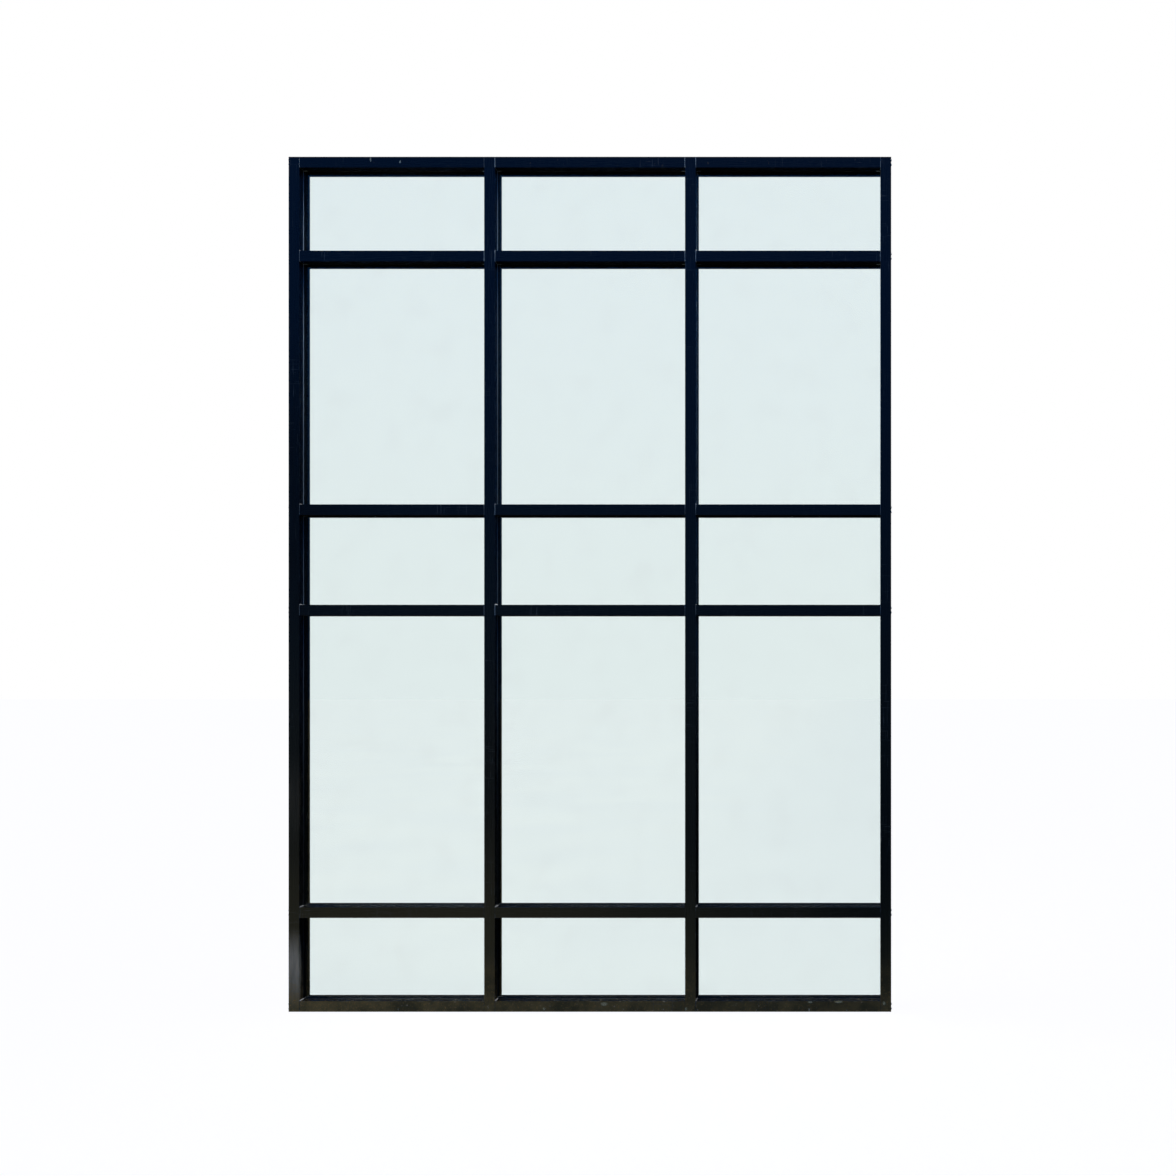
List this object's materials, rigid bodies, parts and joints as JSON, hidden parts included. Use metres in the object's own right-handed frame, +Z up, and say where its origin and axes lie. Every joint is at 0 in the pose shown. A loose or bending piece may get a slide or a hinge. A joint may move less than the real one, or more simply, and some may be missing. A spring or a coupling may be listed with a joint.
{
  "type": "aluminium window wall",
  "caption": "Full-height window wall of dark aluminium: hollow uprights and rails around fixed double-glazed panes in a regular grid.",
  "frame": {"origin": "on the underside of the sill, at the middle of the wall's width and depth", "axes": "+X along the wall to the right seen from outside, the outer face looks along -Y, +Z up"},
  "size_m": [2.8956, 0.1142, 4.1084],
  "materials": {
    "frame": "dark anodised, satin",
    "glass": "clear with a faint blue-green tint",
    "gaskets": "matt black",
    "spacers": "mill",
    "blocks": "matt black",
    "seals": "grey sealant"
  },
  "bodies": {
    "root": {"left_jamb": "frame", "left_mullion": "frame", "right_mullion": "frame", "right_jamb": "frame", "sill_left": "frame", "sill_centre": "frame", "sill_right": "frame", "lower_rail_left": "frame", "lower_rail_centre": "frame", "lower_rail_right": "frame", "middle_rail_left": "frame", "middle_rail_centre": "frame", "middle_rail_right": "frame", "upper_rail_left": "frame", "upper_rail_centre": "frame", "upper_rail_right": "frame", "top_rail_left": "frame", "top_rail_centre": "frame", "top_rail_right": "frame", "header_left": "frame", "header_centre": "frame", "header_right": "frame", "kick_glass_left": "glass", "kick_glass_centre": "glass", "kick_glass_right": "glass", "lower_glass_left": "glass", "lower_glass_centre": "glass", "lower_glass_right": "glass", "middle_glass_left": "glass", "middle_glass_centre": "glass", "middle_glass_right": "glass", "upper_glass_left": "glass", "upper_glass_centre": "glass", "upper_glass_right": "glass", "top_glass_left": "glass", "top_glass_centre": "glass", "top_glass_right": "glass", "front_gaskets": "gaskets", "rear_gaskets": "gaskets", "glass_spacers": "spacers", "setting_blocks": "blocks", "glass_stops": "frame", "joint_seals": "seals"}
  },
  "joints": []
}
